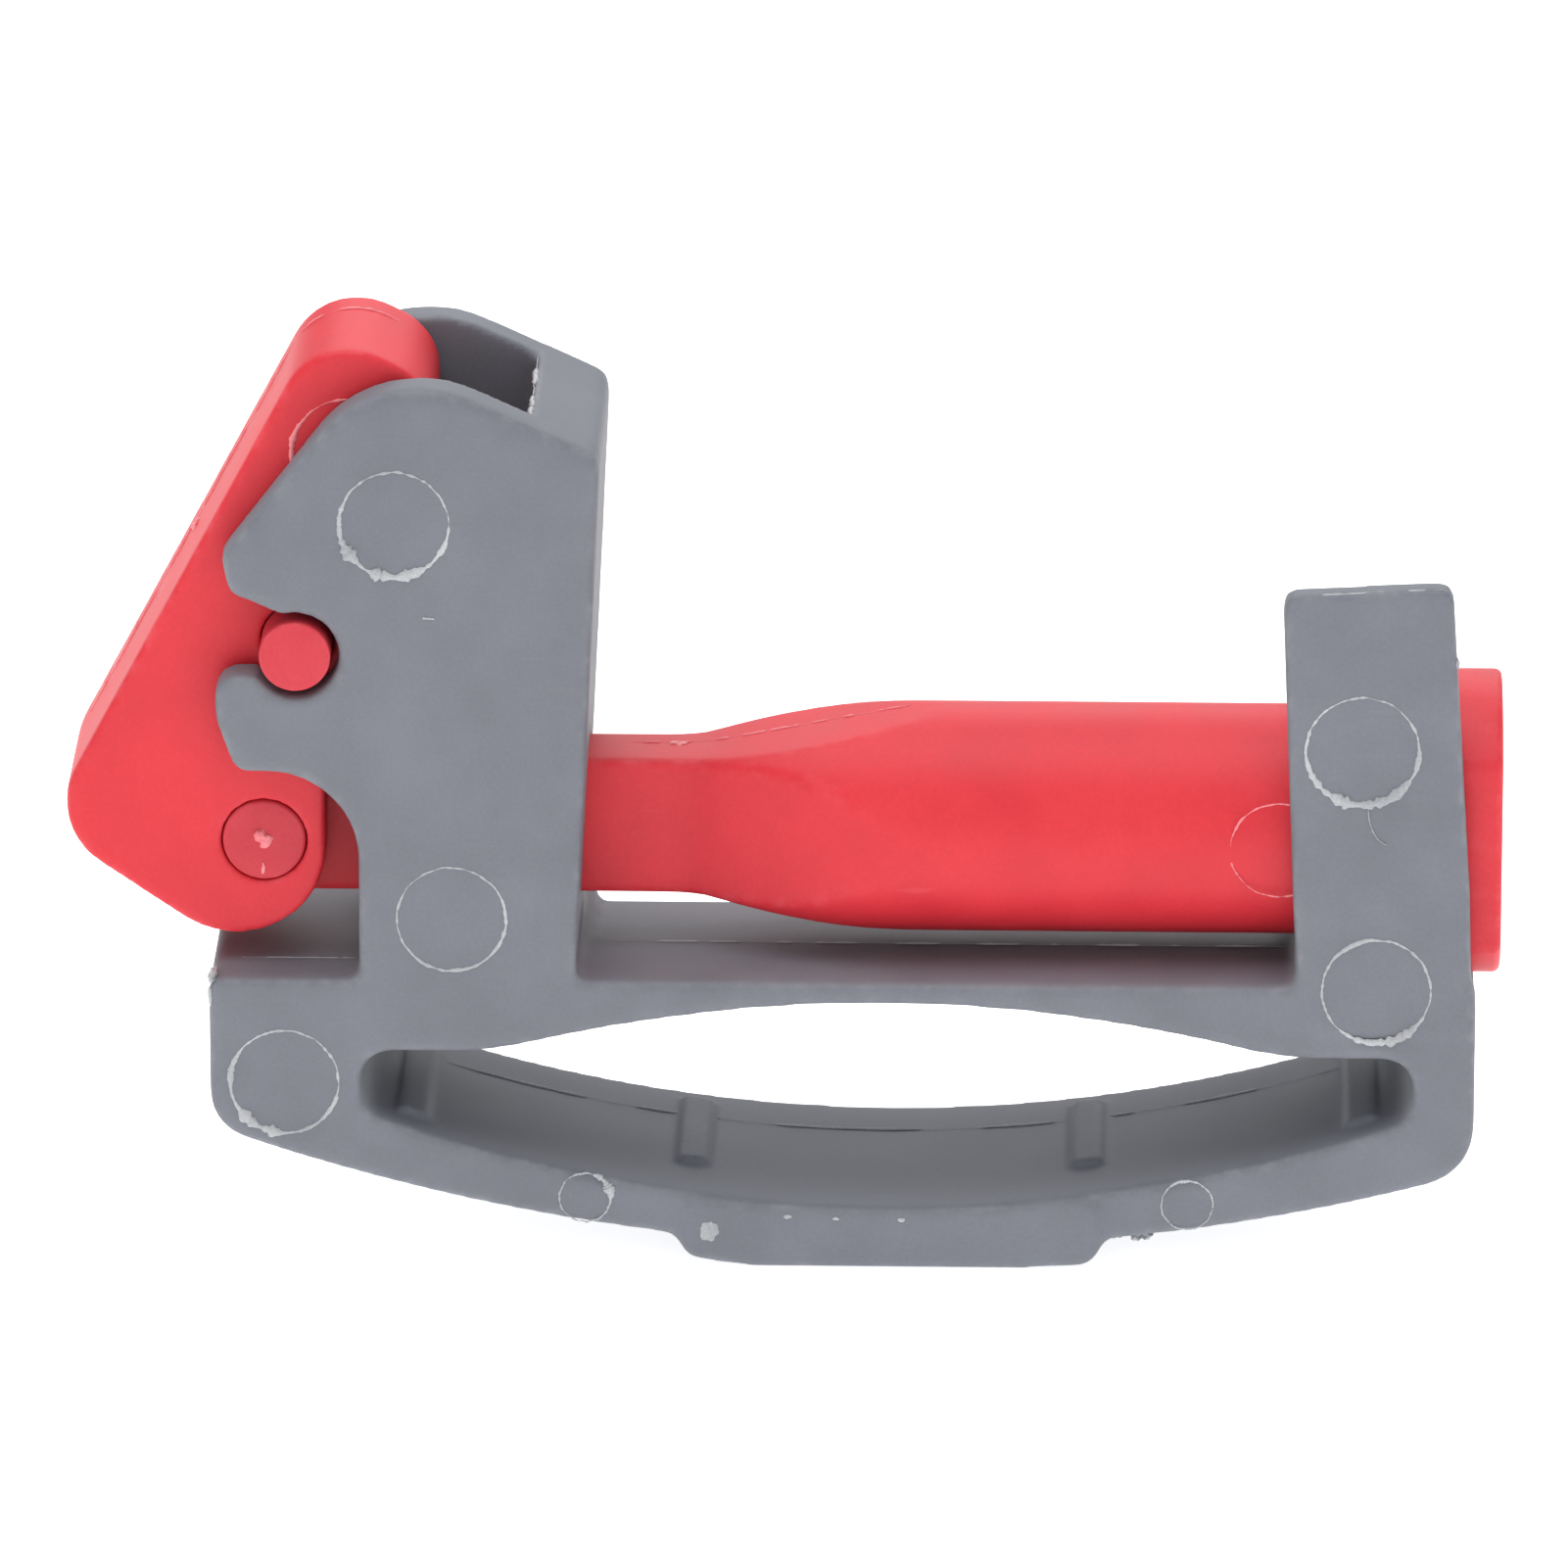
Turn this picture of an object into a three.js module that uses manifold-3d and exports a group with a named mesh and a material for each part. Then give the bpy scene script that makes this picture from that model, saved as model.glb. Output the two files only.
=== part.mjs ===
// Quick-release latch: a moulded loop frame, a sliding cross bolt and a toggle lever that draws the bolt tight.
// Millimetres. +Z up, +X along the bolt towards its head, -Y the front. Origin: under the middle of the frame.
import * as THREE from 'three';
import { mergeVertices } from 'three/addons/utils/BufferGeometryUtils.js';
import Module from 'manifold-3d';

const wasm = await Module();
wasm.setup();

// Driving dimensions
const ORIGIN = [0.12, -0.16, 0.25]; // middle of the latch in X and Y and its underside, moved to zero at the end
const DEPTH = 16.2; // frame, front to back
const CHEEK = 2.6; // thickness of each tower cheek
const AXIS_Z = 23.9; // height of the bolt's axis
const BASE_TOP = 16.8; // top of the upper beam and of the base under the tower
const LOOP_X = 5.8; // middle of the strap loop
const LOOP_LEFT = -23.2; // ends of the strap loop
const LOOP_RIGHT = 34.9;
const FRAME_LEFT = -31.55;
const FRAME_RIGHT = 38.3;
const BACK_SLOPE = 0.09; // fall of the upper beam's top behind its middle, in radians
const FLOOR_LOW = 3.8; // loop floor at its lowest
const FLOOR_RADIUS = 81;
const CEILING_HIGH = 15.5; // loop ceiling at its highest
const CEILING_RADIUS = 80;
const CEILING_END = 12.5; // loop ceiling at both ends
const BELLY_LOW = 1.2; // underside of the lower beam at its lowest
const BELLY_X = 6.6;
const BELLY_RADIUS = 107;
const FOOT_LEFT = -5.5; // the foot that the latch stands on
const FOOT_RIGHT = 17.6;
const FOOT_PROUD = 0.5; // how far the foot stands proud of the front
const RIBS = [[-26.2, -6], [-10.75, -3.6], [11.1, -3.6], [26.3, -6]]; // place along the loop, front end
const RIB_BACK = 6.3;
const RIB_WIDTH = 1.7;
const RIB_HEIGHT = 0.45;
const BOLT_RADIUS = 6.37;
const BOLT_BORE_RADIUS = 6.5;
const NECK_HEIGHT = 7.9;
const NECK_THICKNESS = 5;
const NECK_ROUND = 4.8; // radius of the turned bar that the neck's corners just clear
const ROUND_SWELL = { end: 5, radius: 26 }; // arc along which the turned bar swells, and where it is full
const HEIGHT_RAMP = [-4.4, 8.1]; // where the bolt's top and bottom start to part, and where they reach the full bar
const THICKNESS_RAMP = [-5.4, 2.2]; // where the bolt's sides start to part, and where their arc starts
const THICKNESS_SWELL = { end: 8, radius: 15.7 }; // the arc that follows
const NECK_PLAY = 0.25; // clearance around the neck in the tower's wall
const HEAD_RADIUS = 8.4;
const LEDGE_TOP = 15.3; // right end of the base, under the head
const HEAD_FLAT = 6.4; // flat on the head's front, which keeps the bolt from turning behind the tab
const HEAD_LEFT = 36.7;
const HEAD_RIGHT = 39.66;
const EYE_LEFT = 28.3; // bearing eye round the bolt
const EYE_RIGHT = 36.4;
const TAB_PROUD = 0.15; // how far the tab stands proud of the front
const PIVOT = [-28.55, AXIS_Z]; // lever pivot, in the bolt's neck
const FULCRUM = [-26.6, 35.55]; // fulcrum pin, in the cheeks' notches
const LEVER_WIDTH = 10.4;
const PIVOT_PIN_RADIUS = 2.3;
const FULCRUM_PIN_RADIUS = 1.96;
const PIN_PLAY = 0.06; // radial clearance around both pins
const SEAT_RADIUS = 2.42; // notch seat around the fulcrum pin
const FORK_WIDTH = 5.6; // slot in the lever for the bolt's neck
const FORK_CLEARANCE = 0.45;

const HALF = DEPTH / 2;
const ARC_STEPS = 5; // half the number of facets on a rounded corner
const ROUND_FACETS = 48;

// A closed outline from corners [x, z, radius], each rounded by an arc that touches both of its sides.
function outline(corners) {
  const shape = new THREE.Shape();
  const count = corners.length;
  corners.forEach(([x, z, radius = 0], index) => {
    const corner = new THREE.Vector2(x, z);
    if (radius === 0) {
      if (index === 0) shape.moveTo(x, z);
      else shape.lineTo(x, z);
      return;
    }
    const [beforeX, beforeZ] = corners[(index + count - 1) % count];
    const [afterX, afterZ] = corners[(index + 1) % count];
    const before = new THREE.Vector2(beforeX, beforeZ).sub(corner).normalize();
    const after = new THREE.Vector2(afterX, afterZ).sub(corner).normalize();
    const halfAngle = Math.acos(before.dot(after)) / 2;
    const reach = radius / Math.tan(halfAngle);
    const middle = before.clone().add(after).normalize().multiplyScalar(radius / Math.sin(halfAngle));
    const start = before.clone().multiplyScalar(reach).sub(middle);
    const end = after.clone().multiplyScalar(reach).sub(middle);
    const clockwise = before.cross(after) > 0;
    shape.absarc(x + middle.x, z + middle.y, radius, start.angle(), end.angle(), clockwise);
  });
  return shape;
}

// Points [x, height(x)] from one x to another, for a side that follows a formula.
function along(from, to, steps, height) {
  return Array.from({ length: steps + 1 }, (unused, index) => {
    const x = from + ((to - from) * index) / steps;
    return [x, height(x)];
  });
}

// An outline in the X-Z plane made solid between two depths.
function slab(corners, front, back) {
  const geometry = new THREE.ExtrudeGeometry(outline(corners), {
    depth: back - front,
    bevelEnabled: false,
    curveSegments: ARC_STEPS,
  });
  geometry.rotateX(Math.PI / 2);
  geometry.translate(0, back, 0);
  return solid(geometry);
}

// A round bar along Y through the point [x, z].
function crossBar([x, z], radius, front, back) {
  const geometry = new THREE.CylinderGeometry(radius, radius, back - front, ROUND_FACETS);
  geometry.translate(x, (front + back) / 2, z);
  return solid(geometry);
}

// A round bar along X on the bolt's axis.
function axialBar(radius, left, right) {
  const geometry = new THREE.CylinderGeometry(radius, radius, right - left, ROUND_FACETS);
  geometry.rotateZ(Math.PI / 2);
  geometry.translate((left + right) / 2, 0, AXIS_Z);
  return solid(geometry);
}

function box(left, right, front, back, low, high) {
  const geometry = new THREE.BoxGeometry(right - left, back - front, high - low);
  geometry.translate((left + right) / 2, (front + back) / 2, (low + high) / 2);
  return solid(geometry);
}

function solid(geometry) {
  geometry.deleteAttribute('normal');
  geometry.deleteAttribute('uv');
  const merged = mergeVertices(geometry, 1e-5);
  return new wasm.Manifold(new wasm.Mesh({
    numProp: 3,
    vertProperties: new Float32Array(merged.attributes.position.array),
    triVerts: new Uint32Array(merged.index.array),
  }));
}

function mesh(name, material, body) {
  const { vertProperties, triVerts } = body.getMesh();
  const geometry = new THREE.BufferGeometry();
  geometry.setAttribute('position', new THREE.BufferAttribute(vertProperties, 3));
  geometry.setIndex(new THREE.BufferAttribute(triVerts, 1));
  geometry.computeVertexNormals();
  const part = new THREE.Mesh(geometry, material);
  part.name = name;
  return part;
}

const floorHeight = (x) => FLOOR_LOW + (x - LOOP_X) ** 2 / (2 * FLOOR_RADIUS);
const ceilingHeight = (x) => Math.max(CEILING_END, CEILING_HIGH - (x - LOOP_X) ** 2 / (2 * CEILING_RADIUS));
const bellyHeight = (x) => BELLY_LOW + (x - BELLY_X) ** 2 / (2 * BELLY_RADIUS);

// The foot's underside, flat in the middle and rising a little towards both ends.
const [, , FOOT_LOW] = ORIGIN;
const footUnderside = [
  [FOOT_LEFT + 0.3, FOOT_LOW + 0.45, 0.9],
  [-1.8, FOOT_LOW],
  [13.8, FOOT_LOW],
  [FOOT_RIGHT - 0.3, FOOT_LOW + 0.2, 0.9],
];

// Frame: upper and lower beam round the strap loop, with the foot under the lower beam. Behind the middle the
// upper beam's top falls away towards the back, and the right end is low enough to pass under the bolt's head.
function loopBody() {
  const block = slab([
    [FRAME_LEFT, BASE_TOP, 0.7],
    [FRAME_LEFT, bellyHeight(FRAME_LEFT), 2.8],
    ...along(-27, -7.5, 8, bellyHeight),
    [FOOT_LEFT - 0.4, bellyHeight(FOOT_LEFT - 0.4), 0.5],
    ...footUnderside,
    [FOOT_RIGHT + 0.4, bellyHeight(FOOT_RIGHT + 0.4), 0.5],
    ...along(19.6, 34, 7, bellyHeight),
    [FRAME_RIGHT, bellyHeight(FRAME_RIGHT), 3.4],
    [FRAME_RIGHT, BASE_TOP],
  ], -HALF, HALF);
  const foot = slab([
    [FOOT_LEFT, floorHeight(0), 0.6],
    ...footUnderside,
    [FOOT_RIGHT, floorHeight(0), 0.6],
  ], -HALF - FOOT_PROUD, 0);
  const loop = slab([
    [LOOP_LEFT, CEILING_END, 1.6],
    [LOOP_LEFT, floorHeight(LOOP_LEFT), 1.8],
    ...along(LOOP_LEFT + 3.2, LOOP_RIGHT - 3.2, 20, floorHeight),
    [LOOP_RIGHT, floorHeight(LOOP_RIGHT), 1.8],
    [LOOP_RIGHT, CEILING_END, 1.6],
    ...along(LOOP_RIGHT - 3.2, LOOP_LEFT + 3.2, 20, ceilingHeight),
  ], -DEPTH, DEPTH);
  const backSlope = new THREE.BoxGeometry(38, 20, 4);
  backSlope.translate(0, 10, 2);
  backSlope.rotateX(-BACK_SLOPE);
  backSlope.translate(8.4, -1.3, BASE_TOP);
  const ledge = box(EYE_RIGHT, FRAME_RIGHT + 1, -6.4, DEPTH, LEDGE_TOP, BASE_TOP + 1);
  return block.add(foot).subtract(loop).subtract(solid(backSlope)).subtract(ledge);
}

// Frame: low ribs across the loop's floor that grip the strap.
function floorRib([offset, front]) {
  const left = LOOP_X + offset - RIB_WIDTH / 2;
  const right = LOOP_X + offset + RIB_WIDTH / 2;
  return slab([
    [left, floorHeight(left) - 0.6],
    [right, floorHeight(right) - 0.6],
    [right, floorHeight(right) + RIB_HEIGHT, 0.2],
    [left, floorHeight(left) + RIB_HEIGHT, 0.2],
  ], front, RIB_BACK);
}

// Frame: one cheek of the tower, with the snap notch for the fulcrum pin and the relief round the lever pivot.
function cheek(front, back) {
  const [seatX, seatZ] = FULCRUM;
  const plate = slab([
    [-23.25, BASE_TOP - 2],
    [-11.4, BASE_TOP - 2],
    [-9.8, 47.1, 1],
    [-21.9, 52.6, 7],
    [-30.65, 41.1, 0.9],
    [-30.2, 39.15, 0.6],
    [seatX - 0.45, seatZ + 2.2],
    [seatX, seatZ],
    [seatX - 1.45, seatZ - 1.9],
    [-28.35, 34.4, 0.6],
    [-31.1, 34.3, 1.3],
    [-31, 31.8, 1.5],
    [-29.95, 28.8, 0.9],
    [-23.2, 28.8, 5],
  ], front, back);
  return plate.subtract(crossBar(FULCRUM, SEAT_RADIUS, front - 1, back + 1));
}

// Frame: the wall that closes the tower's right side, with the slot that guides the bolt's neck.
function towerWall() {
  const plate = slab([
    [-15.2, BASE_TOP - 2],
    [-11.4, BASE_TOP - 2],
    [-9.8, 47.1, 1],
    [-13.7, 48.87],
  ], -HALF, HALF);
  const halfHeight = NECK_HEIGHT / 2 + NECK_PLAY;
  const halfWidth = NECK_THICKNESS / 2 + NECK_PLAY;
  return plate.subtract(box(-17, -8, -halfWidth, halfWidth, AXIS_Z - halfHeight, AXIS_Z + halfHeight));
}

// Frame: the post on the right, a bearing eye round the bolt behind a thin upright tab.
function boltPost() {
  const tab = slab([
    [29.2, 14.1, 1],
    [38.1, 14.1, 0.3],
    [37.9, 22],
    [36.75, 40.05, 0.8],
    [27.45, 39.5, 0.7],
    [28.25, 20],
  ], -HALF - TAB_PROUD, -6.47);
  const eye = axialBar(HALF, EYE_LEFT, EYE_RIGHT).add(box(EYE_LEFT, EYE_RIGHT, -HALF, HALF, BASE_TOP - 1, AXIS_Z));
  return eye.add(tab).subtract(axialBar(BOLT_BORE_RADIUS, 25, FRAME_RIGHT + 2));
}

function frame() {
  let body = loopBody();
  RIBS.forEach((rib) => {
    body = body.add(floorRib(rib));
  });
  body = body.add(cheek(-HALF, CHEEK - HALF)).add(cheek(HALF - CHEEK, HALF));
  return body.add(towerWall()).add(boltPost());
}

const swell = ({ end, radius }) => (x) => BOLT_RADIUS - (end - x) ** 2 / (2 * radius);

// The bolt's round bar, which thins along an arc towards the neck.
function turnedBar(left, right) {
  const start = ROUND_SWELL.end - Math.sqrt(2 * ROUND_SWELL.radius * (BOLT_RADIUS - NECK_ROUND));
  const arc = along(start, ROUND_SWELL.end, 10, swell(ROUND_SWELL));
  const corners = [[left, 0], [left, NECK_ROUND], ...arc, [right, BOLT_RADIUS], [right, 0]];
  const section = new wasm.CrossSection([corners.map(([x, radius]) => [radius, x])], 'Positive');
  return section.revolve(ROUND_FACETS).rotate([0, 90, 0]).translate([0, 0, AXIS_Z]);
}

// A profile of the bolt, alike on both sides.
function boltProfile(corners) {
  const upper = [...corners, [HEAD_LEFT, BOLT_RADIUS]];
  const lower = upper.map(([x, z, rounding]) => [x, -z, rounding]).reverse();
  return slab([...upper, ...lower], -DEPTH, DEPTH);
}

// Bolt: a round bar that tapers in height and in thickness to a flat neck, with a disc head.
function bolt() {
  const [pivotX] = PIVOT;
  const neckEnd = NECK_HEIGHT / 2;
  const [rampStart, rampEnd] = HEIGHT_RAMP;
  const elevation = boltProfile([
    [pivotX - neckEnd, neckEnd, neckEnd - 0.05],
    [rampStart, neckEnd],
    [rampEnd, BOLT_RADIUS],
  ]).translate([0, 0, AXIS_Z]);
  const [sideStart, sideArc] = THICKNESS_RAMP;
  const plan = boltProfile([
    [pivotX - HALF, NECK_THICKNESS / 2],
    [sideStart, NECK_THICKNESS / 2],
    ...along(sideArc, THICKNESS_SWELL.end, 8, swell(THICKNESS_SWELL)),
  ]).rotate([90, 0, 0]).translate([0, 0, AXIS_Z]);
  const shank = turnedBar(pivotX - HALF, HEAD_LEFT).intersect(elevation).intersect(plan);
  const disc = axialBar(HEAD_RADIUS, HEAD_LEFT - 0.01, HEAD_RIGHT);
  const flat = box(HEAD_LEFT - 1, HEAD_RIGHT + 1, -DEPTH, -HEAD_FLAT, 0, 2 * AXIS_Z);
  return shank.add(disc.subtract(flat)).subtract(crossBar(PIVOT, PIVOT_PIN_RADIUS + PIN_PLAY, -DEPTH, DEPTH));
}

// Lever: a deep slab with a round top, forked at the bottom to straddle the bolt's neck.
function lever() {
  const half = LEVER_WIDTH / 2;
  const [pivotX, pivotZ] = PIVOT;
  const plate = slab([
    [-25.3, 53.5, 3.9],
    [-40.75, 24.6, 4.2],
    [-25.15, 13.9, 5],
    [-25.15, 27, 3],
    [-18.35, 50.05, 3.7],
  ], -half, half);
  const neckRoom = NECK_HEIGHT / 2 + FORK_CLEARANCE;
  const fork = box(pivotX - neckRoom, pivotX + 12, -FORK_WIDTH / 2, FORK_WIDTH / 2, pivotZ - 12, pivotZ + neckRoom);
  return plate
    .subtract(fork)
    .subtract(crossBar(PIVOT, PIVOT_PIN_RADIUS + PIN_PLAY, -DEPTH, DEPTH))
    .subtract(crossBar(FULCRUM, FULCRUM_PIN_RADIUS + PIN_PLAY, -DEPTH, DEPTH));
}

const pivotPin = () => crossBar(PIVOT, PIVOT_PIN_RADIUS, -LEVER_WIDTH / 2, LEVER_WIDTH / 2);
const fulcrumPin = () => crossBar(FULCRUM, FULCRUM_PIN_RADIUS, -HALF - 0.1, HALF + 0.1);

const greyNylon = new THREE.MeshStandardMaterial({ color: 0x81858f, roughness: 0.62, metalness: 0 });
const redNylon = new THREE.MeshStandardMaterial({ color: 0xe8434e, roughness: 0.5, metalness: 0 });
const darkRedNylon = new THREE.MeshStandardMaterial({ color: 0xd8454f, roughness: 0.5, metalness: 0 });

const latch = new THREE.Group();
latch.position.fromArray(ORIGIN).negate();
latch.add(
  mesh('frame', greyNylon, frame()),
  mesh('bolt', redNylon, bolt()),
  mesh('lever', redNylon, lever()),
  mesh('pivot_pin', darkRedNylon, pivotPin()),
  mesh('fulcrum_pin', darkRedNylon, fulcrumPin()),
);

export default latch;
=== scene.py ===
"""Looks of a moulded quick-release clamp latch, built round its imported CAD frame.

Lengths in the classes are in millimetres on the latch's own datum: X along the bolt, -Y to the front,
Z up, with the lever's pivot pin at (-28.55, 0, 23.9). `place` turns them into metres in the shared frame.
"""

import logging
import math
from dataclasses import dataclass, field
from enum import Enum
from typing import Callable, Sequence

import bmesh
import bpy
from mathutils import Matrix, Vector, noise


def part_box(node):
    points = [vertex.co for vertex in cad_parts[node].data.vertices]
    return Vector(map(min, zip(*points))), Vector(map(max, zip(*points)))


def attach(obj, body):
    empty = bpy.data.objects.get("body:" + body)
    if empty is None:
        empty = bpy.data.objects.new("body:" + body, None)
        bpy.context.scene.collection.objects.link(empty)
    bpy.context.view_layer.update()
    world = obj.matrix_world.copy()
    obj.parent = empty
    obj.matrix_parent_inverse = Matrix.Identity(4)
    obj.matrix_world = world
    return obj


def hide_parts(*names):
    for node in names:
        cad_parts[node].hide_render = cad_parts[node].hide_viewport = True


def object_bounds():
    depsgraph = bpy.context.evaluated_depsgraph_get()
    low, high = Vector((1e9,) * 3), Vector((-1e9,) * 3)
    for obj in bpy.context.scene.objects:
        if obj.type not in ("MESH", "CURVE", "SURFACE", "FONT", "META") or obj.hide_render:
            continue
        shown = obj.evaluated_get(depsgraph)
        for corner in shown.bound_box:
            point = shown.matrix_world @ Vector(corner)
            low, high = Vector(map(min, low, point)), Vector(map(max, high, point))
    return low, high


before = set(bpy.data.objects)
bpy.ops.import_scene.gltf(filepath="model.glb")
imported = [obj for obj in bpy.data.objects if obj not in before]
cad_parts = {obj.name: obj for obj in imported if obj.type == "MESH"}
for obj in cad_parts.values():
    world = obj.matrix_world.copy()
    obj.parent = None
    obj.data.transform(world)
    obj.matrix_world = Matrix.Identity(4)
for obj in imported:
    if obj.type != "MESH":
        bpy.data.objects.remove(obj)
CAD_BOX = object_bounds()

log = logging.getLogger("latch")
MM = 0.001
PIVOT = Vector((-28.55, 0.0, 23.9))  # middle of the pivot pin
FULCRUM = Vector((-26.6, 0.0, 35.55))  # middle of the fulcrum pin
AXIS_Z = 23.9  # height of the bolt's axis
FRONT = -8.1  # the frame's front face
BASE_TOP = 16.8  # top of the frame's upper beam
CREASE = 18.0  # degrees past which an edge is sharp enough to be rounded
FULL_RUB_AND_SHEEN_LEAN = 0.03  # how far a corner's faces lean from its normal where its edge rubbing and painted highlight are full
FLOOR_GAP = 0.02  # gap under the foot
Rgb = tuple[float, float, float]


def middle(node: str) -> Vector:
    """Middle of a CAD node's box, in metres."""
    low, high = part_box(node)
    return (low + high) / 2


DATUM = middle("pivot_pin") - PIVOT * MM


def place(x: float, y: float, z: float) -> Vector:
    """A point on the latch's datum, in metres in the shared frame."""
    return DATUM + Vector((x, y, z)) * MM


def on_datum(point: Vector) -> Vector:
    """A point of the shared frame, in millimetres on the latch's datum."""
    return (point - DATUM) / MM


class Slot(Enum):
    """Material slots of the record."""

    GREY = "grey_nylon"
    RED = "red_nylon"
    PIN = "pin_red_nylon"


class Body(Enum):
    """Bodies that the pieces ride on."""

    FRAME = "frame"
    BOLT = "bolt"
    LEVER = "lever"


# ---------------------------------------------------------------- modelling helpers


def select_only(*objects: bpy.types.Object) -> None:
    """Selects these objects and nothing else, and makes the first one active.

    Args:
        objects: The objects to select.
    """
    bpy.ops.object.select_all(action="DESELECT")
    for item in objects:
        item.select_set(True)
    bpy.context.view_layer.objects.active = objects[0]


def named(name: str) -> bpy.types.Object:
    """Names the active object and its mesh, and applies its place, turn and scale to the mesh.

    Args:
        name: The new name.

    Returns:
        The active object.
    """
    made = bpy.context.active_object
    made.name = name
    made.data.name = name
    select_only(made)
    bpy.ops.object.transform_apply(location=True, rotation=True, scale=True)
    return made


def edit_all(item: bpy.types.Object, *steps: Callable[[], object]) -> None:
    """Runs edit-mode steps on an object, each with the whole mesh selected.

    Args:
        item: The object to edit.
        steps: Calls to run in order.
    """
    select_only(item)
    bpy.ops.object.mode_set(mode="EDIT")
    for step in steps:
        bpy.ops.mesh.select_all(action="SELECT")
        step()
    bpy.ops.object.mode_set(mode="OBJECT")


def edit_edges(
    item: bpy.types.Object, wanted: Callable[[bmesh.types.BMEdge], bool], step: Callable[[], object]
) -> None:
    """Runs one edit-mode step on the edges that are wanted.

    Args:
        item: The object to edit.
        wanted: Says whether an edge takes part.
        step: The call to run.
    """
    select_only(item)
    bpy.context.tool_settings.mesh_select_mode = (False, True, False)
    bpy.ops.object.mode_set(mode="EDIT")
    bpy.ops.mesh.select_all(action="DESELECT")
    shape = bmesh.from_edit_mesh(item.data)
    for edge in shape.edges:
        edge.select_set(wanted(edge))
    bmesh.update_edit_mesh(item.data)
    step()
    bpy.ops.object.mode_set(mode="OBJECT")


def soft_min(first: float, second: float, blend: float) -> float:
    """The smaller of two lengths, with a rounded change from one to the other."""
    return (first + second - math.hypot(first - second, blend)) / 2


def soft_max(first: float, second: float, blend: float) -> float:
    """The larger of two lengths, with a rounded change from one to the other."""
    return (first + second + math.hypot(first - second, blend)) / 2


def lengthwise(shortest: float) -> Callable[[bmesh.types.BMEdge], bool]:
    """A test for edges that run along X for at least this length."""
    return lambda edge: abs(edge.verts[0].co.x - edge.verts[1].co.x) > shortest


def copy_of_node(node: str, name: str) -> bpy.types.Object:
    """Copies a CAD node as a new piece with flat faces merged into single polygons.

    Args:
        node: Name of the CAD node.
        name: Name of the new piece.

    Returns:
        The new object.
    """
    made = bpy.data.objects.new(name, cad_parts[node].data.copy())
    made.data.name = name
    made.data.materials.clear()
    bpy.context.scene.collection.objects.link(made)
    edit_all(
        made,
        lambda: bpy.ops.mesh.customdata_custom_splitnormals_clear(),
        lambda: bpy.ops.mesh.remove_doubles(threshold=0.002 * MM),
        lambda: bpy.ops.mesh.dissolve_limited(angle_limit=math.radians(0.5)),
    )
    return made


def apply_modifier(item: bpy.types.Object, kind: str, **settings: object) -> None:
    """Adds a modifier with these settings and applies it.

    Args:
        item: The piece.
        kind: Blender's name for the type of modifier.
        settings: Values for the modifier's properties.
    """
    select_only(item)
    modifier = item.modifiers.new(kind.lower(), kind)
    for key, value in settings.items():
        setattr(modifier, key, value)
    bpy.ops.object.modifier_apply(modifier=modifier.name)


def soften(item: bpy.types.Object, radius: float) -> None:
    """Rounds the sharp edges of a piece.

    Args:
        item: The piece.
        radius: Radius in millimetres.
    """
    shape = bmesh.new()
    shape.from_mesh(item.data)
    weight = shape.edges.layers.float.new("bevel_weight_edge")
    for edge in shape.edges:
        if len(edge.link_faces) == 2 and edge.calc_face_angle(0.0) > math.radians(CREASE):
            edge[weight] = 1.0
    shape.to_mesh(item.data)
    shape.free()
    apply_modifier(
        item, "BEVEL", limit_method="WEIGHT", width=radius * MM, segments=4,
        use_clamp_overlap=False, loop_slide=True, miter_outer="MITER_SHARP",
    )
    smooth(item)


def melt(item: bpy.types.Object, amount_at: Callable[[Vector], float], rounds: int) -> None:
    """Relaxes a fine even mesh, so that its edges round off where amount_at is above 0.

    Args:
        item: The piece.
        amount_at: Share from 0 to 1 of the relaxing that a point of the datum gets.
        rounds: How many times the mesh is relaxed.
    """
    group = item.vertex_groups.new(name="melt")
    for vertex in item.data.vertices:
        group.add([vertex.index], amount_at(on_datum(vertex.co)), "REPLACE")
    apply_modifier(item, "SMOOTH", factor=0.5, iterations=rounds, vertex_group="melt")
    item.vertex_groups.remove(item.vertex_groups["melt"])


def smooth(item: bpy.types.Object, angle: float = 38.0) -> None:
    """Shades a piece smooth up to an angle in degrees."""
    select_only(item)
    bpy.ops.object.shade_smooth_by_angle(angle=math.radians(angle))


def mark_edges(item: bpy.types.Object) -> None:
    """Stores a mask of edge rubbing and painted highlight, up to 1 on the outer edges of a piece and 0 on
    its flats and hollows.

    Args:
        item: The piece.
    """
    shape = bmesh.new()
    shape.from_mesh(item.data)
    shape.normal_update()
    values = []
    for vertex in shape.verts:
        lean = min((vertex.normal.dot(face.normal) for face in vertex.link_faces), default=1.0)
        ring = [edge.other_vert(vertex).co - vertex.co for edge in vertex.link_edges]
        bulge = -vertex.normal.dot(sum(ring, Vector()))
        values.append(min(1.0, (1.0 - lean) / FULL_RUB_AND_SHEEN_LEAN) if bulge > 0 else 0.0)
    shape.free()
    # The mask lightens the outer edges: partly rubbing, partly a painted highlight along the rounded edges.
    layer = item.data.attributes.new("edge_rub_and_sheen", "FLOAT", "POINT")
    layer.data.foreach_set("value", values)


def join(name: str, parts: Sequence[bpy.types.Object]) -> bpy.types.Object:
    """Joins objects into one piece.

    Args:
        name: Name of the piece.
        parts: The objects to join.

    Returns:
        The piece.
    """
    select_only(*parts)
    if len(parts) > 1:
        bpy.ops.object.join()
    return named(name)


def hand_over(item: bpy.types.Object, body: Body, slot: Slot, *nodes: str) -> None:
    """Sets a finished piece on its body and hides the CAD nodes that it stands for.

    Args:
        item: The piece.
        body: The body that it rides on.
        slot: Its material slot in the record; not used.
        nodes: The CAD nodes that it replaces.
    """
    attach(item, body.value)
    if nodes:
        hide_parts(*nodes)
    log.info("%s: %d faces, rides on %s", item.name, len(item.data.polygons), body.value)


# ---------------------------------------------------------------- finishes


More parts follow.
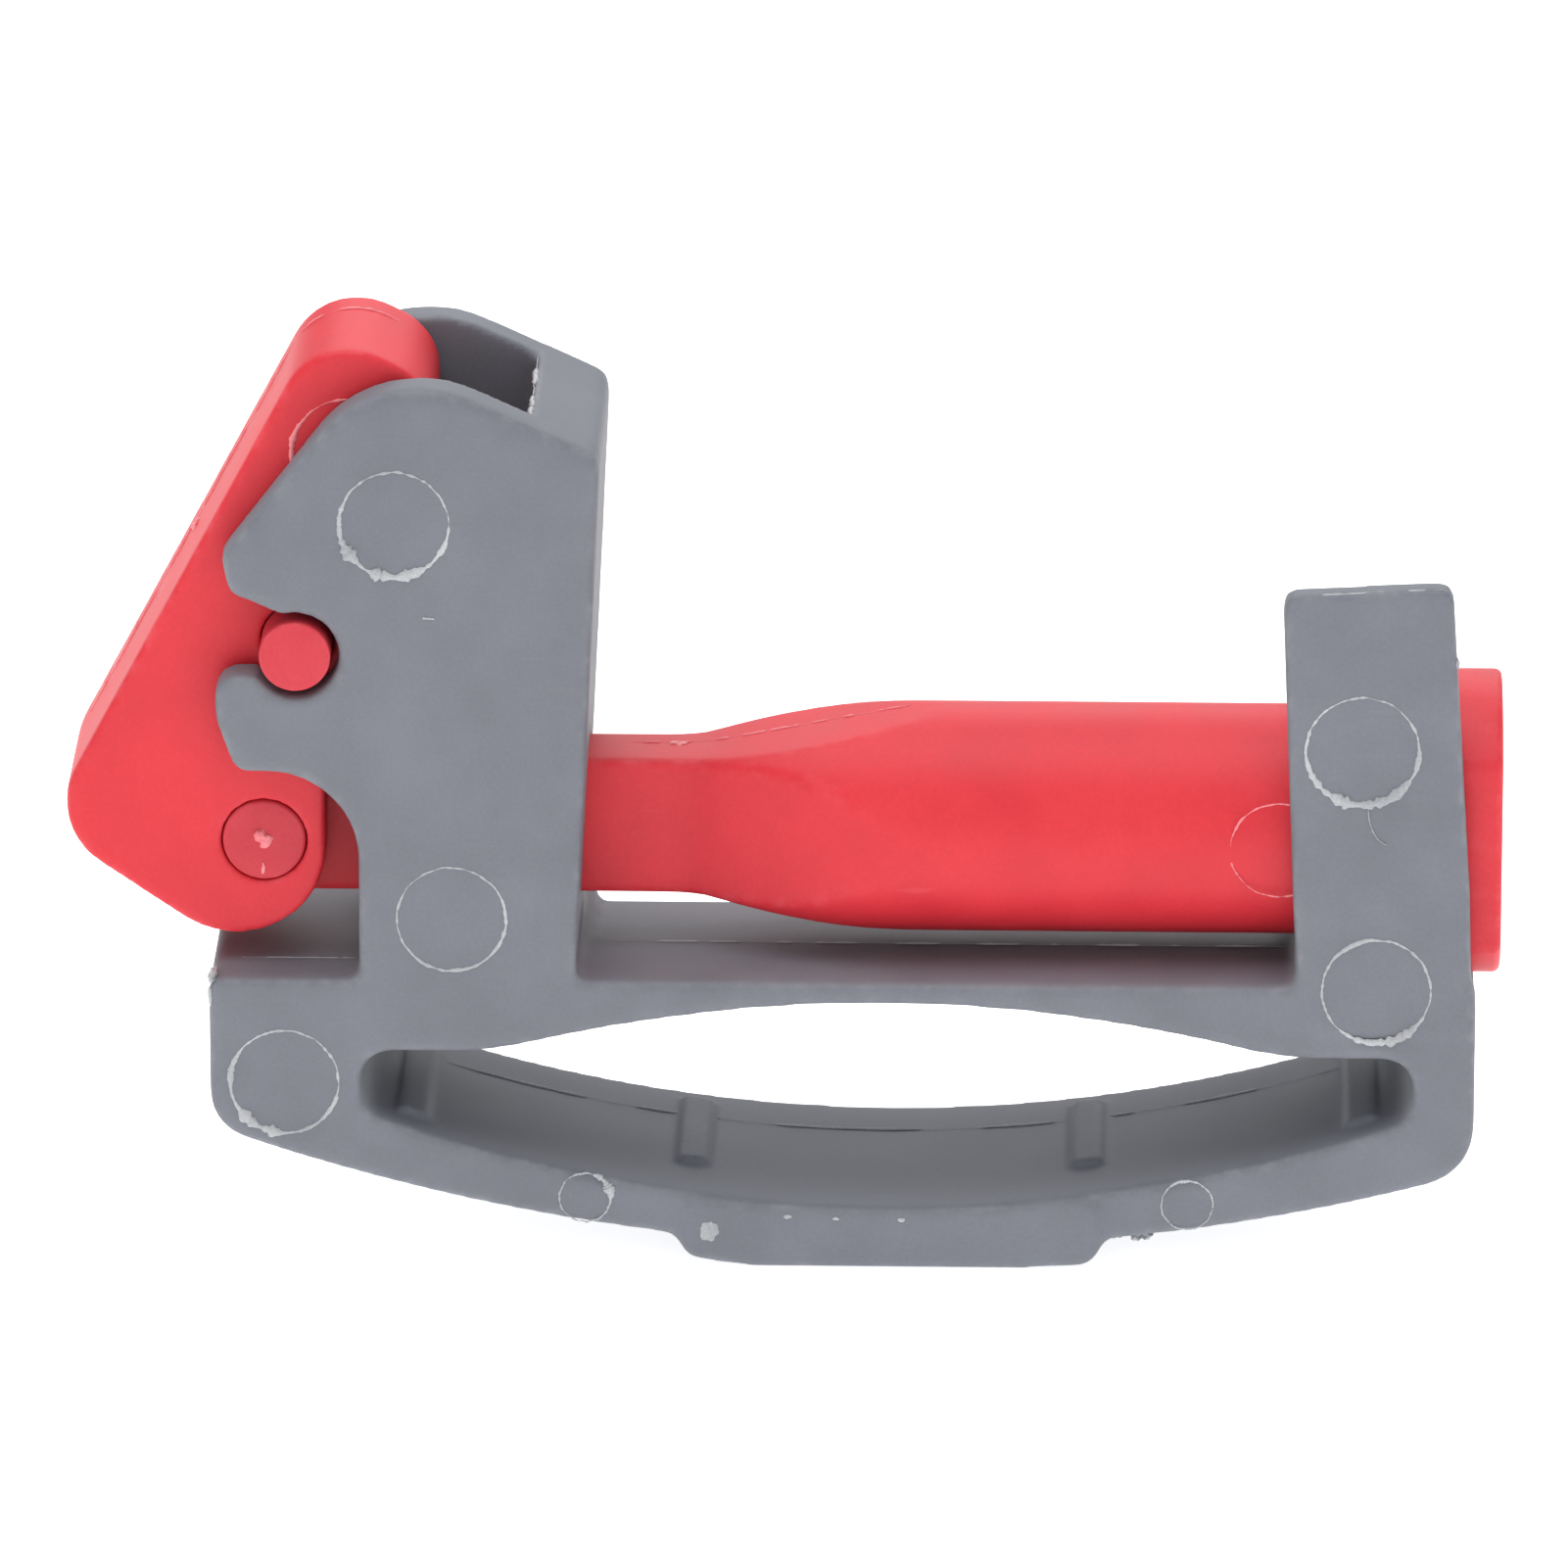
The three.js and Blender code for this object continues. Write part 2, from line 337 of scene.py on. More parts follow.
def surface_group() -> bpy.types.NodeTree:
    """Shared pattern of an as-moulded surface: fine grain, soft mottling and faint scuffs.

    Returns:
        A node group that puts out Mottle, Grain, Scuff and Height, all from 0 to 1.
    """
    group = bpy.data.node_groups.new("moulded_surface", "ShaderNodeTree")
    face = group.interface
    face.new_socket("Vector", in_out="INPUT", socket_type="NodeSocketVector")
    for name, value in (("Grain Size", 0.2), ("Mottle Size", 4.0), ("Scuff Amount", 0.08)):
        socket = face.new_socket(name, in_out="INPUT", socket_type="NodeSocketFloat")
        socket.default_value = value
    for name in ("Mottle", "Grain", "Scuff", "Height"):
        face.new_socket(name, in_out="OUTPUT", socket_type="NodeSocketFloat")
    nodes, links = group.nodes, group.links
    come, leave = nodes.new("NodeGroupInput"), nodes.new("NodeGroupOutput")

    def math_node(operation: str, first: object, second: object) -> bpy.types.NodeSocket:
        """Adds a Math node.

        Args:
            operation: Blender's name for the operation.
            first: First number, or the socket that gives it.
            second: Second number, or the socket that gives it.

        Returns:
            The result's socket.
        """
        node = nodes.new("ShaderNodeMath")
        node.operation = operation
        node.use_clamp = operation in {"MULTIPLY", "SUBTRACT"}
        for socket, value in zip(node.inputs, (first, second)):
            if isinstance(value, bpy.types.NodeSocket):
                links.new(value, socket)
            else:
                socket.default_value = value
        return node.outputs[0]

    def noise_of(size: object, detail: float, rough: float) -> bpy.types.NodeSocket:
        """Adds a Noise Texture node.

        Args:
            size: Size of the pattern in millimetres, or the socket that gives it.
            detail: Layers of finer noise.
            rough: Strength of the finer noise.

        Returns:
            The noise's socket.
        """
        node = nodes.new("ShaderNodeTexNoise")
        node.inputs["Detail"].default_value = detail
        node.inputs["Roughness"].default_value = rough
        links.new(come.outputs["Vector"], node.inputs["Vector"])
        links.new(math_node("DIVIDE", 1 / MM, size), node.inputs["Scale"])
        return node.outputs["Fac"]

    grain = noise_of(come.outputs["Grain Size"], 2.0, 0.6)
    mottle = noise_of(come.outputs["Mottle Size"], 4.0, 0.55)
    stretch = nodes.new("ShaderNodeMapping")
    stretch.inputs["Rotation"].default_value = (0.0, math.radians(35), 0.0)
    stretch.inputs["Scale"].default_value = (0.12, 1.0, 1.0)
    links.new(come.outputs["Vector"], stretch.inputs["Vector"])
    lines = nodes.new("ShaderNodeTexNoise")
    lines.inputs["Scale"].default_value = 2.2 / MM
    lines.inputs["Detail"].default_value = 1.0
    links.new(stretch.outputs["Vector"], lines.inputs["Vector"])
    thin = math_node("SUBTRACT", lines.outputs["Fac"], 0.66)
    patches = math_node("SUBTRACT", noise_of(9.0, 1.0, 0.5), 0.5)
    scuff = math_node("MULTIPLY", math_node("MULTIPLY", thin, 12.0), math_node("MULTIPLY", patches, 6.0))
    scuff = math_node("MULTIPLY", scuff, come.outputs["Scuff Amount"])
    height = math_node("MULTIPLY", grain, 1.0)
    links.new(mottle, leave.inputs["Mottle"])
    links.new(grain, leave.inputs["Grain"])
    links.new(scuff, leave.inputs["Scuff"])
    links.new(height, leave.inputs["Height"])
    return group


def rub_and_sheen_group() -> bpy.types.NodeTree:
    """Shared mask of edge rubbing and painted highlight: the piece's edge mask attribute broken up by
    noise.

    Returns:
        A node group that puts out Mask, from 0 to 1.
    """
    group = bpy.data.node_groups.new("edge_rub_and_sheen_mask", "ShaderNodeTree")
    face = group.interface
    face.new_socket("Vector", in_out="INPUT", socket_type="NodeSocketVector")
    face.new_socket("Amount", in_out="INPUT", socket_type="NodeSocketFloat")
    face.new_socket("Mask", in_out="OUTPUT", socket_type="NodeSocketFloat")
    nodes, links = group.nodes, group.links
    come, leave = nodes.new("NodeGroupInput"), nodes.new("NodeGroupOutput")
    edge = nodes.new("ShaderNodeAttribute")
    edge.attribute_name = "edge_rub_and_sheen"
    breaks = nodes.new("ShaderNodeTexNoise")
    breaks.inputs["Scale"].default_value = 0.9 / MM
    breaks.inputs["Detail"].default_value = 3.0
    links.new(come.outputs["Vector"], breaks.inputs["Vector"])
    spread = nodes.new("ShaderNodeMapRange")
    spread.inputs["From Min"].default_value = 0.45
    spread.inputs["From Max"].default_value = 0.7
    links.new(breaks.outputs["Fac"], spread.inputs["Value"])
    product = nodes.new("ShaderNodeMath")
    product.operation = "MULTIPLY"
    links.new(edge.outputs["Fac"], product.inputs[0])
    links.new(spread.outputs["Result"], product.inputs[1])
    scaled = nodes.new("ShaderNodeMath")
    scaled.operation = "MULTIPLY"
    links.new(product.outputs[0], scaled.inputs[0])
    links.new(come.outputs["Amount"], scaled.inputs[1])
    links.new(scaled.outputs[0], leave.inputs["Mask"])
    return group


@dataclass(frozen=True)
class Nylon:
    """A moulded nylon finish.

    Attributes:
        name: Name of the material.
        dark: Colour where the mottling is deepest.
        light: Colour where the mottling is palest.
        rub_and_sheen_colour: Colour of scuffs and of the outer edges, where it is partly rubbing and partly
            painted highlight.
        roughness: Middle roughness.
        specular: Strength of the shine at normal view.
        grain: Size of the fine grain in millimetres.
        relief: Depth of the grain in millimetres.
        rub_and_sheen_amount: How strongly the edges show rubbing and painted highlight.
        scuffs: How strongly scuffs show.
    """

    name: str
    dark: Rgb
    light: Rgb
    rub_and_sheen_colour: Rgb
    roughness: float = 0.55
    specular: float = 0.4
    grain: float = 0.22
    relief: float = 0.006
    rub_and_sheen_amount: float = 0.35
    scuffs: float = 0.05

    def build(self, surface: bpy.types.NodeTree, rub_and_sheen: bpy.types.NodeTree) -> bpy.types.Material:
        """Builds the material.

        Args:
            surface: The shared moulded surface group.
            rub_and_sheen: The shared group of edge rubbing and painted highlight.

        Returns:
            The new material.
        """
        material = bpy.data.materials.new(self.name)
        material.use_nodes = True
        nodes, links = material.node_tree.nodes, material.node_tree.links
        shader = nodes["Principled BSDF"]
        shader.inputs["Specular IOR Level"].default_value = self.specular
        where = nodes.new("ShaderNodeTexCoord")
        pattern = nodes.new("ShaderNodeGroup")
        pattern.node_tree = surface
        pattern.inputs["Grain Size"].default_value = self.grain
        pattern.inputs["Mottle Size"].default_value = 5.0
        pattern.inputs["Scuff Amount"].default_value = self.scuffs
        edges = nodes.new("ShaderNodeGroup")
        edges.node_tree = rub_and_sheen
        edges.inputs["Amount"].default_value = self.rub_and_sheen_amount
        for node in (pattern, edges):
            links.new(where.outputs["Object"], node.inputs["Vector"])
        tint = nodes.new("ShaderNodeMapRange")
        tint.inputs["From Min"].default_value = 0.3
        tint.inputs["From Max"].default_value = 0.7
        blend = nodes.new("ShaderNodeMath")
        blend.operation = "ADD"
        links.new(pattern.outputs["Mottle"], blend.inputs[0])
        links.new(self._centred(nodes, links, pattern.outputs["Grain"], 0.5), blend.inputs[1])
        links.new(blend.outputs[0], tint.inputs["Value"])
        body = self._mix(nodes, links, tint.outputs["Result"], self.dark, self.light)
        scuffed = self._mix(nodes, links, pattern.outputs["Scuff"], body, self.rub_and_sheen_colour)
        # Lightens the outer edges: partly rubbing, partly painted highlight.
        rub_and_sheen_colour = self._mix(nodes, links, edges.outputs["Mask"], scuffed, self.rub_and_sheen_colour)
        links.new(rub_and_sheen_colour, shader.inputs["Base Color"])
        rough = nodes.new("ShaderNodeMapRange")
        rough.inputs["To Min"].default_value = self.roughness - 0.08
        rough.inputs["To Max"].default_value = self.roughness + 0.08
        links.new(pattern.outputs["Mottle"], rough.inputs["Value"])
        links.new(rough.outputs["Result"], shader.inputs["Roughness"])
        bump = nodes.new("ShaderNodeBump")
        bump.inputs["Strength"].default_value = 0.6
        bump.inputs["Distance"].default_value = self.relief * MM
        links.new(pattern.outputs["Height"], bump.inputs["Height"])
        links.new(bump.outputs["Normal"], shader.inputs["Normal"])
        return material

    @staticmethod
    def _centred(
        nodes: bpy.types.Nodes, links: bpy.types.NodeLinks, value: bpy.types.NodeSocket, gain: float
    ) -> bpy.types.NodeSocket:
        """Moves a 0 to 1 value to be about zero, times a gain.

        Args:
            nodes: Nodes of the material.
            links: Links of the material.
            value: Socket of the value.
            gain: Factor on the value.

        Returns:
            The result's socket.
        """
        node = nodes.new("ShaderNodeMath")
        node.operation = "MULTIPLY_ADD"
        node.inputs[1].default_value = gain
        node.inputs[2].default_value = -gain / 2
        links.new(value, node.inputs[0])
        return node.outputs[0]

    @staticmethod
    def _mix(
        nodes: bpy.types.Nodes, links: bpy.types.NodeLinks, share: bpy.types.NodeSocket,
        first: Rgb | bpy.types.NodeSocket, second: Rgb | bpy.types.NodeSocket,
    ) -> bpy.types.NodeSocket:
        """Mixes two colours.

        Args:
            nodes: Nodes of the material.
            links: Links of the material.
            share: Socket of the second colour's share.
            first: First colour, or its socket.
            second: Second colour, or its socket.

        Returns:
            The result's socket.
        """
        node = nodes.new("ShaderNodeMix")
        node.data_type = "RGBA"
        links.new(share, node.inputs["Factor"])
        for socket, colour in ((node.inputs[6], first), (node.inputs[7], second)):
            if isinstance(colour, bpy.types.NodeSocket):
                links.new(colour, socket)
            else:
                socket.default_value = (*colour, 1.0)
        return node.outputs[2]


GREY = Nylon(
    "grey_nylon", dark=(0.150, 0.158, 0.184), light=(0.176, 0.186, 0.214), rub_and_sheen_colour=(0.30, 0.31, 0.34),
    roughness=0.58, specular=0.35,
)
RED = Nylon(
    "red_nylon", dark=(0.60, 0.022, 0.034), light=(0.68, 0.030, 0.044), rub_and_sheen_colour=(0.80, 0.16, 0.19),
    roughness=0.5, specular=0.35, rub_and_sheen_amount=0.25, scuffs=0.15,
)
PIN_RED = Nylon(
    "pin_red_nylon", dark=(0.50, 0.026, 0.040), light=(0.58, 0.036, 0.052), rub_and_sheen_colour=(0.75, 0.16, 0.20),
    roughness=0.5, specular=0.35, rub_and_sheen_amount=0.3, scuffs=0.2,
)
GREY_FLASH = Nylon(
    "grey_flash", dark=(0.30, 0.31, 0.33), light=(0.50, 0.51, 0.53), rub_and_sheen_colour=(0.6, 0.6, 0.6),
    roughness=0.45, grain=0.12, rub_and_sheen_amount=0.0, scuffs=0.0,
)
RED_FLASH = Nylon(
    "red_flash", dark=(0.72, 0.13, 0.15), light=(0.85, 0.30, 0.32), rub_and_sheen_colour=(0.9, 0.4, 0.4),
    roughness=0.4, grain=0.12, rub_and_sheen_amount=0.0, scuffs=0.0,
)


@dataclass
class Palette:
    """All finishes, built once and handed out by name."""

    made: dict[str, bpy.types.Material] = field(default_factory=dict)

    def mix(self) -> "Palette":
        """Builds every finish round the two shared groups.

        Returns:
            The palette itself.
        """
        surface, rub_and_sheen = surface_group(), rub_and_sheen_group()
        for finish in (GREY, RED, PIN_RED, GREY_FLASH, RED_FLASH):
            self.made[finish.name] = finish.build(surface, rub_and_sheen)
        return self

    def dress(self, item: bpy.types.Object, finish: Nylon) -> None:
        """Gives a piece one finish."""
        item.data.materials.clear()
        item.data.materials.append(self.made[finish.name])


# ---------------------------------------------------------------- small moulding marks


@dataclass(frozen=True)
class Lump:
    """A thicker stretch of flash on a ring.

    Attributes:
        direction: Where it lies, in degrees from +X towards +Z.
        reach: Half its length in degrees.
        size: Factor on its width.
    """

    direction: float
    reach: float
    size: float


@dataclass(frozen=True)
class EjectorMark:
    """A round mark left by an ejector pin, outlined by a thin ragged ring of flash.

    Attributes:
        x: Place along the bolt.
        z: Height.
        y: Depth of the face that it lies on.
        radius: Radius of the ejector pin.
        seed: Changes the raggedness.
        thickness: Half the usual width of the flash.
        lumps: Thicker stretches.
        faint: Share of the ring that almost vanishes.
    """

    x: float
    z: float
    y: float
    radius: float
    seed: float
    thickness: float = 0.075
    lumps: tuple[Lump, ...] = ()
    faint: float = 0.25

    def build(self) -> bpy.types.Object:
        """Builds the ragged ring, half sunk in its face.

        Returns:
            The ring.
        """
        bpy.ops.mesh.primitive_torus_add(
            major_segments=180, minor_segments=8, major_radius=self.radius * MM,
            minor_radius=self.thickness * MM, rotation=(math.pi / 2, 0, 0),
        )
        ring = named("ring")
        centre = place(self.x, self.y, self.z)
        for vertex in ring.data.vertices:
            angle = math.atan2(vertex.co.z, vertex.co.x)
            outward = Vector((math.cos(angle), 0, math.sin(angle)))
            core = outward * self.radius * MM
            offset = (vertex.co - core) * self._width(angle, outward)
            offset.y *= 0.55
            wander = noise.noise(outward * 4 + Vector((self.seed, 0, 0))) * 0.05 * MM
            vertex.co = centre + core + outward * wander + offset
        return ring

    def _width(self, angle: float, outward: Vector) -> float:
        """Factor on the ring's thickness in one direction.

        Args:
            angle: The direction in radians.
            outward: The same direction as a vector.

        Returns:
            The factor.
        """
        ragged = noise.noise(outward * 13 + Vector((0, self.seed, 0)))
        coarse = noise.noise(outward * 2.2 + Vector((0, 0, self.seed)))
        width = 0.78 + 0.95 * ragged + 0.35 * coarse
        if coarse < -0.5 + self.faint:
            width *= 0.55
        for lump in self.lumps:
            turn = abs((math.degrees(angle) - lump.direction + 180) % 360 - 180)
            bump = math.exp(-((turn / lump.reach) ** 2))
            torn = 0.75 + 0.6 * noise.noise(outward * 14 + Vector((self.seed, 3, 0)))
            width += 1.45 * lump.size * bump * torn
        return max(width, 0.15)


@dataclass(frozen=True)
class Thread:
    """A thin raised line, such as parting-line flash or a hair of plastic, laid along a route.

    Attributes:
        route: Point of the datum at a share of the length from 0 to 1.
        thickness: Half the width in millimetres.
        seed: Changes the raggedness.
        dashes: How broken the line is, from 0 to 1.
        steps: Stretches along the line.
    """

    route: Callable[[float], Vector]
    thickness: float = 0.06
    seed: float = 0.0
    dashes: float = 0.5
    steps: int = 120

    def build(self) -> bpy.types.Object:
        """Builds the line as a closed thin tube.

        Returns:
            The tube.
        """
        bpy.ops.mesh.primitive_cylinder_add(vertices=6, radius=1, depth=1, rotation=(0, math.pi / 2, 0))
        tube = named("thread")
        edit_edges(tube, lengthwise(0.5), lambda: bpy.ops.mesh.subdivide(number_cuts=self.steps - 1))
        for vertex in tube.data.vertices:
            share = vertex.co.x + 0.5
            core = self.route(share)
            along = (self.route(min(share + 0.01, 1)) - self.route(max(share - 0.01, 0))).normalized()
            side = along.cross(Vector((0.3, 0.2, 1.0))).normalized()
            lift = side.cross(along)
            width = self.thickness * self._width(share)
            vertex.co = place(*(core + (side * vertex.co.y + lift * vertex.co.z) * width))
        edit_all(tube, lambda: bpy.ops.mesh.normals_make_consistent(inside=False))
        return tube

    def _width(self, share: float) -> float:
        """Factor on the thickness at a place along the line.

        Args:
            share: The place, as a share of the length.

        Returns:
            The factor.
        """
        here = share * self.steps / 6
        ragged = 1 + 0.6 * noise.noise(Vector((here * 1.7, self.seed, 0)))
        gap = noise.noise(Vector((here * 0.5, self.seed, 7))) * 0.5 + 0.5
        ends = min(1.0, 12 * share + 0.15, 12 * (1 - share) + 0.15)
        return max(0.12, ragged * ends * (1 if gap > self.dashes * 0.8 else 0.2))


@dataclass(frozen=True)
class Burr:
    """A small ragged lump of plastic.

    Attributes:
        x: Place along the bolt.
        y: Depth.
        z: Height.
        size: Half-lengths along the three axes.
        seed: Changes the raggedness.
    """

    x: float
    y: float
    z: float
    size: tuple[float, float, float]
    seed: float = 0.0

    def build(self) -> bpy.types.Object:
        """Builds the lump from a ball pushed in and out.

        Returns:
            The lump.
        """
        bpy.ops.mesh.primitive_ico_sphere_add(subdivisions=3, radius=1)
        lump = named("burr")
        for vertex in lump.data.vertices:
            swell = 1 + 0.55 * noise.noise(vertex.co * 1.8 + Vector((self.seed, 0, 0)))
            offset = Vector(part * half * swell for part, half in zip(vertex.co, self.size))
            vertex.co = place(self.x, self.y, self.z) + offset * MM
        return lump


Mark = EjectorMark | Thread | Burr


def marks_piece(
    name: str, marks: Sequence[Mark], palette: Palette, finish: Nylon, body: Body, slot: Slot
) -> None:
    """Builds small marks and joins them into one piece that rides on a body.

    Args:
        name: Name of the piece.
        marks: The marks that it is made of.
        palette: All finishes.
        finish: The finish of the marks.
        body: The body that they ride on.
        slot: Their material slot in the record.
    """
    piece = join(name, [mark.build() for mark in marks])
    smooth(piece, 60)
    palette.dress(piece, finish)
    hand_over(piece, body, slot)


# ---------------------------------------------------------------- sub-assemblies


@dataclass(frozen=True)
class CrispZone:
    """A box on the datum in which a piece's edges stay crisper.

    Attributes:
        x: Reach along the bolt.
        depth: Reach to the front and to the back of the middle.
        z: Reach in height.
        share: Share of the light relaxing inside the box.
    """

    x: tuple[float, float]
    depth: float
    z: tuple[float, float]
    share: float

    def holds(self, point: Vector) -> bool:
        """Says whether a point is in the box."""
        in_view = self.x[0] < point.x < self.x[1] and self.z[0] < point.z < self.z[1]
        return in_view and abs(point.y) < self.depth


FLOOR_RIBS = CrispZone(x=(-40.0, 40.0), depth=6.9, z=(4.0, 12.6), share=0.35)
WALL_SLOT = CrispZone(x=(-17.0, -8.0), depth=3.0, z=(18.9, 28.9), share=0.4)
TOWER_WELL = CrispZone(x=(-20.0, -12.5), depth=6.0, z=(40.0, 60.0), share=0.3)


@dataclass
class LoopFrame:
    """The grey frame: strap loop, tower with notched cheeks, post with the bolt's eye, and foot.

    Attributes:
        voxel: Spacing of the even mesh.
        fine_rounds: Rounds of light relaxing, which rounds all edges.
        broad_rounds: Rounds of strong relaxing, which rounds the outer edges more.
        crisp_zones: Places with small details, which are relaxed less.
        skin: Depth from the middle at which the outer edges begin.
        skin_fade: Depth over which the strong relaxing sets in.
        shoulder: Height at which the cheeks' rounded tops begin.
        shoulder_fade: Height over which they set in.
        tower_right: The tower's right side.
        notch_right: Right end of the notches.
        notch_bottom: Lower end of the notches.
        notch_share: Share of the strong relaxing at the notches.
        post_left: The post's left side, where the upper beam ends.
        post_foot: Heights between which the post's foot stays as it is.
        beam_left: Left end of the upper beam's free stretch.
        beam_fade: Length over which the relaxing sets in at the ends of that stretch.
        beam_reach: How far from the upper beam's top its front edge is rounded.
        low_top: How far over the upper beam's top low_front still holds.
        low_front: Share on the front edges of both beams.
        high_front: Share on the front edges of the post and the tower.
    """

    voxel: float = 0.26
    fine_rounds: int = 7
    broad_rounds: int = 22
    crisp_zones: tuple[CrispZone, ...] = (FLOOR_RIBS, WALL_SLOT, TOWER_WELL)
    skin: float = 6.2
    skin_fade: float = 0.6
    shoulder: float = 38.8
    shoulder_fade: float = 1.5
    tower_right: float = -9.0
    notch_right: float = -22.5
    notch_bottom: float = 29.0
    notch_share: float = 0.35
    post_left: float = 28.5
    post_foot: tuple[float, float] = (13.0, 15.5)
    beam_left: float = -10.5
    beam_fade: float = 1.5
    beam_reach: float = 1.8
    low_top: float = 0.6
    low_front: float = 0.6
    high_front: float = 0.22

    def _fine(self, point: Vector) -> float:
        """Share of the light relaxing at a point: less in the small details, so that they stay crisp."""
        return next((zone.share for zone in self.crisp_zones if zone.holds(point)), 1.0)

    def _on_skin(self, depth: float) -> float:
        """Rises from 0 to 1 as a depth, counted from the middle, comes to the outer edges."""
        return max(0.0, min(1.0, (depth - self.skin) / self.skin_fade))

    def _broad(self, point: Vector) -> float:
        """Share of the strong relaxing: on the cheeks' outer top edges and the front edges of both beams.

        Args:
            point: A point of the datum.

        Returns:
            A share from 0 to 1.
        """
        x, y, z = point
        if z > self.shoulder and x < self.tower_right:
            return self._on_skin(abs(y)) * min(1.0, (z - self.shoulder) / self.shoulder_fade)
        if x < self.notch_right and self.notch_bottom < z < self.shoulder:
            return self.notch_share * self._on_skin(abs(y))
        if x > self.post_left and self.post_foot[0] < z < self.post_foot[1]:
            return 0.0
        front = self._on_skin(-y)
        if abs(z - BASE_TOP) < self.beam_reach and self.beam_left < x < self.post_left:
            from_end = min(x - self.beam_left, self.post_left - x)
            return front * max(min(1.0, from_end / self.beam_fade), self.low_front)
        return front * (self.low_front if z < BASE_TOP + self.low_top else self.high_front)

    def build(self, palette: Palette) -> None:
        """Builds the frame.

        Args:
            palette: All finishes.
        """
        body = copy_of_node("frame", "frame_moulding")
        apply_modifier(body, "REMESH", mode="VOXEL", voxel_size=self.voxel * MM, adaptivity=0.0)
        melt(body, self._fine, self.fine_rounds)
        melt(body, self._broad, self.broad_rounds)
        smooth(body, 80)
        mark_edges(body)
        palette.dress(body, GREY)
        hand_over(body, Body.FRAME, Slot.GREY, "frame")


@dataclass
class CrossBolt:
    """The red bolt: a round bar that flattens to a neck, with a disc head.

    Attributes:
        radius: Radius of the round bar.
        neck_height: Height of the neck.
        neck_thickness: Thickness of the neck.
        neck_round: Radius of the turned bar at the neck.
        round_end: Where the bar starts to get thinner.
        round_curve: Radius of the curve along which it does.
        height_ramp: Start and end of the ramp of the top and bottom flats.
        side_ramp: Start and end of the straight ramp of the side flats.
        side_end: Where the curved end of the side flats runs out.
        side_curve: Radius of that curve.
        neck_end: The neck's left end, round the pivot pin.
        head_left: Left face of the head.
        head_right: Right face of the head.
        head_radius: Radius of the head.
        head_flat: Depth of the flat on the head's front.
        head_overlap: How far the bar reaches into the head.
        head_rounding: Radius of the head's edges.
        hole_radius: Radius of the hole for the pivot pin.
        sides: Points round the bar.
        rings: Stretches along the bar.
        rim_blend: Rounding between the flats and the turned bar.
        corner_blend: Rounding between the flats.
        ramp_blend: Rounding where the ramps leave the neck.
        thinnest: Least half-height, at the very end of the neck.
    """

    radius: float = 6.37
    neck_height: float = 7.9
    neck_thickness: float = 5.0
    neck_round: float = 4.62
    round_end: float = 5.0
    round_curve: float = 26.0
    height_ramp: tuple[float, float] = (-4.4, 8.1)
    side_ramp: tuple[float, float] = (-5.4, 2.2)
    side_end: float = 8.0
    side_curve: float = 15.7
    neck_end: float = -32.6
    head_left: float = 36.7
    head_right: float = 39.66
    head_radius: float = 8.4
    head_flat: float = 6.4
    head_overlap: float = 0.3
    head_rounding: float = 0.4
    hole_radius: float = 2.36
    sides: int = 160
    rings: int = 150
    rim_blend: float = 0.1
    corner_blend: float = 0.5
    ramp_blend: float = 0.16
    thinnest: float = 0.6

    def round_at(self, x: float) -> float:
        """Radius of the turned bar at x, before its flats."""
        thinning = max(0.0, self.round_end - x) ** 2 / (2 * self.round_curve)
        return max(self.neck_round, self.radius - thinning)

    def height_at(self, x: float) -> float:
        """Half the height between the flats, which is more than the bar's where they have run out.

        Args:
            x: Place along the bolt.

        Returns:
            The half-height.
        """
        start, end = self.height_ramp
        neck = self.neck_height / 2
        return soft_max(neck, neck + (self.radius - neck) * (x - start) / (end - start), self.ramp_blend)

    def depth_at(self, x: float) -> float:
        """Half the thickness between the side flats, which is more than the bar's where they have run out.

        Args:
            x: Place along the bolt.

        Returns:
            The half-thickness.
        """
        start, arc_start = self.side_ramp
        neck = self.neck_thickness / 2

        def swollen(place_x: float) -> float:
            """Half the thickness on the curved end of the flats."""
            return self.radius - (self.side_end - place_x) ** 2 / (2 * self.side_curve)

        if x < arc_start:
            rise = (swollen(arc_start) - neck) / (arc_start - start)
            return soft_max(neck, neck + rise * (x - start), self.ramp_blend)
        return swollen(x) if x < self.side_end else self.radius + (x - self.side_end)

    def _section(self, x: float, y: float, z: float) -> Vector:
        """Moves a point of the round bar on to the bar's true section.

        Args:
            x: Place along the bolt.
            y: Depth.
            z: Height over the bolt's axis.

        Returns:
            The moved point, with its height over the axis.
        """
        angle = math.atan2(z, y)
        height = self.height_at(x)
        past = PIVOT.x - x
        if past > 0:
            height = max(self.thinnest, math.sqrt(max(0.0, (self.neck_height / 2) ** 2 - past ** 2)))
        least = 0.05
        to_side = self.depth_at(x) / max(abs(math.cos(angle)), least)
        to_top = height / max(abs(math.sin(angle)), least)
        reach = soft_min(self.round_at(x), soft_min(to_side, to_top, self.corner_blend), self.rim_blend)
        return Vector((x, reach * math.cos(angle), reach * math.sin(angle)))

    def _shank(self) -> bpy.types.Object:
        """Builds the bar and neck.

        Returns:
            The shank.
        """
        length = self.head_left + self.head_overlap - self.neck_end
        centre = place(self.neck_end + length / 2, 0, AXIS_Z)
        bpy.ops.mesh.primitive_cylinder_add(
            vertices=self.sides, radius=self.radius * MM, depth=length * MM, location=centre,
            rotation=(0, math.pi / 2, 0),
        )
        shank = named("shank")
        edit_edges(shank, lengthwise(MM), lambda: bpy.ops.mesh.subdivide(number_cuts=self.rings - 1))
        for vertex in shank.data.vertices:
            x, y, z = on_datum(vertex.co)
            section = self._section(x, y, z - AXIS_Z)
            vertex.co = place(section.x, section.y, section.z + AXIS_Z)
        return shank

